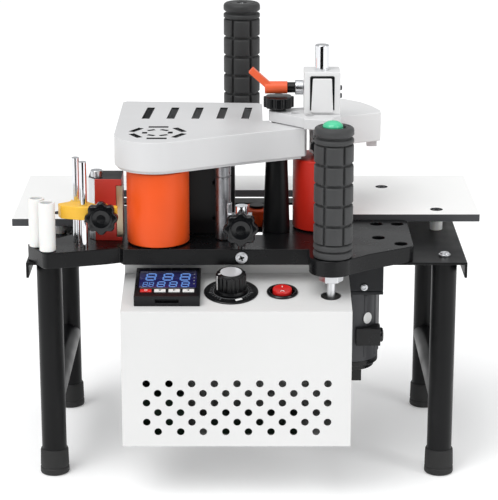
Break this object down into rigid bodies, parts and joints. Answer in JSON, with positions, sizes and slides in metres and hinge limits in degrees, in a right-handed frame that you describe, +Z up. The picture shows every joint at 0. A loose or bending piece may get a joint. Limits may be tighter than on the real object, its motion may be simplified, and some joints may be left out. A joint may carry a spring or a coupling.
{
  "type": "edge banding machine",
  "caption": "Bench edge banding machine: rollers, glue pot, gear train and motor on a base plate, with a control box, grips, a table board and a tube stand.",
  "frame": {"origin": "centre of the bounding box, at the underside of the feet, on the bench", "axes": "+X to the machine's right along the table's long side, +Y to the back, +Z up; the control panel faces -Y"},
  "size_m": [0.362, 0.247, 0.3445],
  "materials": {
    "black_paint": "satin powder coat",
    "table_white": "compact laminate with a charcoal core",
    "box_white": "fine powder coat",
    "cover_grey": "smooth satin paint",
    "cover_white": "smooth satin paint",
    "foot_rubber": "moulded",
    "nylon_white": "turned nylon",
    "screw_steel": "zinc plated",
    "chrome": "polished",
    "aluminium": "machined",
    "orange_rubber": "ground polyurethane",
    "red_rubber": "ground silicone rubber",
    "knurled_steel": "knurled",
    "gear_nylon": "moulded",
    "gear_brass": "hobbed",
    "motor_black": "ribbed, satin",
    "rotor_copper": "wound",
    "grip_rubber": "blocked tread",
    "green_plastic": "domed",
    "yellow_plastic": "moulded",
    "red_anodised": "red anodised with bare edges",
    "blade_steel": "ground",
    "black_plastic": "moulded",
    "glue_black": "non-stick coated",
    "red_plastic": "moulded",
    "white_plastic": "moulded",
    "orange_plastic": "moulded",
    "board_green": "circuit board"
  },
  "bodies": {
    "machine": {"stand_plate": "black_paint", "leg_tubes": "black_paint", "cross_tubes": "black_paint", "rubber_feet": "foot_rubber", "table_board": "table_white", "table_spacers": "nylon_white", "pan_screws": "screw_steel", "base_plate": "black_paint", "drive_pillar": "black_paint", "steel_posts": "screw_steel", "gear_plate": "aluminium", "main_cover": "cover_grey", "box_shell": "box_white", "box_back_panel": "box_white", "power_inlet": "black_plastic", "control_board": "board_green", "meter_body": "black_plastic", "dial_plate": "black_plastic", "rocker_bezel": "black_plastic", "hand_grips": "grip_rubber", "grip_cores": "screw_steel", "gearbox_case": "motor_black", "motor_body": "motor_black", "motor_end_cap": "motor_black", "guide_posts": "screw_steel", "chrome_rods": "chrome", "cutter_block": "red_anodised", "glue_pot": "glue_black", "sheet_brackets": "black_paint"},
    "feed": {"feed_roller": "orange_rubber", "feed_shaft": "aluminium"},
    "glue": {"glue_roller": "knurled_steel"},
    "large_idler": {"idler_large": "gear_nylon"},
    "small_idler": {"idler_small": "gear_nylon"},
    "drive": {"drive_shaft": "knurled_steel"},
    "reduction": {"reduction_gear": "gear_brass"},
    "rotor": {"motor_rotor": "rotor_copper"},
    "guide_front": {"guide_roller_front": "nylon_white"},
    "guide_rear": {"guide_roller_rear": "nylon_white"},
    "tape_slide": {"tape_guide": "yellow_plastic"},
    "tape_screw": {"tape_knob": "black_plastic"},
    "blade": {"cutter_blade": "blade_steel"},
    "centre_slide": {"centre_clamp": "aluminium"},
    "centre_screw": {"centre_knob": "black_plastic"},
    "pressure": {"link_arm": "aluminium", "clamp_bracket": "cover_white", "pressure_cover": "cover_white", "pressure_shaft": "chrome"},
    "pressure_roll": {"pressure_roller": "red_rubber"},
    "lever": {"clamp_lever": "orange_plastic"},
    "top_screw": {"top_knob": "black_plastic"},
    "side_screw": {"side_knob": "black_plastic"},
    "wheel": {"support_wheel": "orange_rubber"},
    "speed": {"speed_knob": "black_plastic"},
    "rocker": {"rocker_key": "red_plastic"},
    "button": {"green_button": "green_plastic"},
    "key_red": {"meter_key_red": "red_plastic"},
    "key_left": {"meter_key_left": "white_plastic"},
    "key_down": {"meter_key_down": "white_plastic"},
    "key_up": {"meter_key_up": "white_plastic"}
  },
  "joints": [
    {"name": "feed_roller_spin", "type": "hinge", "parent": "machine", "child": "feed", "pos_m": [-0.066, -0.0585, 0.215], "axis": [0, 0, 1], "continuous": true},
    {"name": "glue_roller_spin", "type": "hinge", "parent": "machine", "child": "glue", "pos_m": [-0.0177, -0.053, 0.215], "axis": [0, 0, 1], "continuous": true},
    {"name": "large_idler_spin", "type": "hinge", "parent": "machine", "child": "large_idler", "pos_m": [-0.00923, -0.02631, 0.253], "axis": [0, 0, 1], "continuous": true},
    {"name": "small_idler_spin", "type": "hinge", "parent": "machine", "child": "small_idler", "pos_m": [-0.04091, -0.03863, 0.253], "axis": [0, 0, 1], "continuous": true},
    {"name": "drive_shaft_spin", "type": "hinge", "parent": "machine", "child": "drive", "pos_m": [0.0225, -0.0305, 0.215], "axis": [0, 0, 1], "continuous": true},
    {"name": "reduction_gear_spin", "type": "hinge", "parent": "machine", "child": "reduction", "pos_m": [0.05348, -0.02951, 0.155], "axis": [0, 0, 1], "continuous": true},
    {"name": "motor_rotor_spin", "type": "hinge", "parent": "machine", "child": "rotor", "pos_m": [0.079, -0.0345, 0.12], "axis": [0, 0, 1], "continuous": true},
    {"name": "guide_front_spin", "type": "hinge", "parent": "machine", "child": "guide_front", "pos_m": [-0.1464, -0.0845, 0.205], "axis": [0, 0, 1], "continuous": true},
    {"name": "guide_rear_spin", "type": "hinge", "parent": "machine", "child": "guide_rear", "pos_m": [-0.1552, -0.072, 0.205], "axis": [0, 0, 1], "continuous": true},
    {"name": "support_wheel_spin", "type": "hinge", "parent": "machine", "child": "wheel", "pos_m": [0.008, 0.0175, 0.185], "axis": [0, 0, 1], "continuous": true},
    {"name": "tape_guide_slide", "type": "slide", "parent": "machine", "child": "tape_slide", "axis": [0, 0, 1], "range_m": [-0.008, 0.02]},
    {"name": "tape_knob_turn", "type": "hinge", "parent": "tape_slide", "child": "tape_screw", "pos_m": [-0.1065, -0.0855, 0.211], "axis": [0, 1, 0], "range_deg": [-180, 180]},
    {"name": "cutter_blade_slide", "type": "slide", "parent": "machine", "child": "blade", "axis": [1, 0, 0], "range_m": [0, 0.0025], "stiffness_N_per_m": 600},
    {"name": "centre_clamp_slide", "type": "slide", "parent": "machine", "child": "centre_slide", "axis": [0, 0, 1], "range_m": [-0.0025, 0.001]},
    {"name": "centre_knob_turn", "type": "hinge", "parent": "centre_slide", "child": "centre_screw", "pos_m": [-0.0043, -0.0855, 0.202], "axis": [0, 1, 0], "range_deg": [-180, 180]},
    {"name": "pressure_unit_swing", "type": "hinge", "parent": "machine", "child": "pressure", "pos_m": [0.0242, -0.013, 0.272], "axis": [0, 0, 1], "range_deg": [-4, 4]},
    {"name": "pressure_roller_spin", "type": "hinge", "parent": "pressure", "child": "pressure_roll", "pos_m": [0.0565, -0.0175, 0.215], "axis": [0, 0, 1], "continuous": true},
    {"name": "clamp_lever_turn", "type": "hinge", "parent": "pressure", "child": "lever", "pos_m": [0.043, -0.0085, 0.2925], "axis": [1, 0, 0], "range_deg": [-50, 30]},
    {"name": "side_knob_turn", "type": "hinge", "parent": "pressure", "child": "side_screw", "pos_m": [0.0585, -0.0265, 0.2535], "axis": [0, 1, 0], "range_deg": [-180, 180]},
    {"name": "top_knob_turn", "type": "hinge", "parent": "machine", "child": "top_screw", "pos_m": [0.0242, -0.013, 0.282], "axis": [0, 0, 1], "range_deg": [-180, 180]},
    {"name": "speed_knob_turn", "type": "hinge", "parent": "machine", "child": "speed", "pos_m": [-0.0115, -0.09259, 0.1564], "axis": [0, -0.1564, 0.9877], "range_deg": [-150, 150]},
    {"name": "rocker_tilt", "type": "hinge", "parent": "machine", "child": "rocker", "pos_m": [0.0262, -0.09288, 0.15635], "axis": [1, 0, 0], "range_deg": [-7, 7]},
    {"name": "green_button_press", "type": "slide", "parent": "machine", "child": "button", "axis": [0, 0, -1], "range_m": [0, 0.0025], "stiffness_N_per_m": 400},
    {"name": "meter_key_red_press", "type": "slide", "parent": "machine", "child": "key_red", "axis": [0, 0.1564, -0.9877], "range_m": [0, 0.0006], "stiffness_N_per_m": 300},
    {"name": "meter_key_left_press", "type": "slide", "parent": "machine", "child": "key_left", "axis": [0, 0.1564, -0.9877], "range_m": [0, 0.0006], "stiffness_N_per_m": 300},
    {"name": "meter_key_down_press", "type": "slide", "parent": "machine", "child": "key_down", "axis": [0, 0.1564, -0.9877], "range_m": [0, 0.0006], "stiffness_N_per_m": 300},
    {"name": "meter_key_up_press", "type": "slide", "parent": "machine", "child": "key_up", "axis": [0, 0.1564, -0.9877], "range_m": [0, 0.0006], "stiffness_N_per_m": 300}
  ],
  "couplings": [
    {"joint": "small_idler_spin", "follows": "feed_roller_spin", "ratio": -1.6667},
    {"joint": "large_idler_spin", "follows": "feed_roller_spin", "ratio": 0.90909},
    {"joint": "glue_roller_spin", "follows": "feed_roller_spin", "ratio": -3.3333},
    {"joint": "drive_shaft_spin", "follows": "feed_roller_spin", "ratio": -2},
    {"joint": "reduction_gear_spin", "follows": "feed_roller_spin", "ratio": 6.8571},
    {"joint": "motor_rotor_spin", "follows": "feed_roller_spin", "ratio": -22.857}
  ]
}
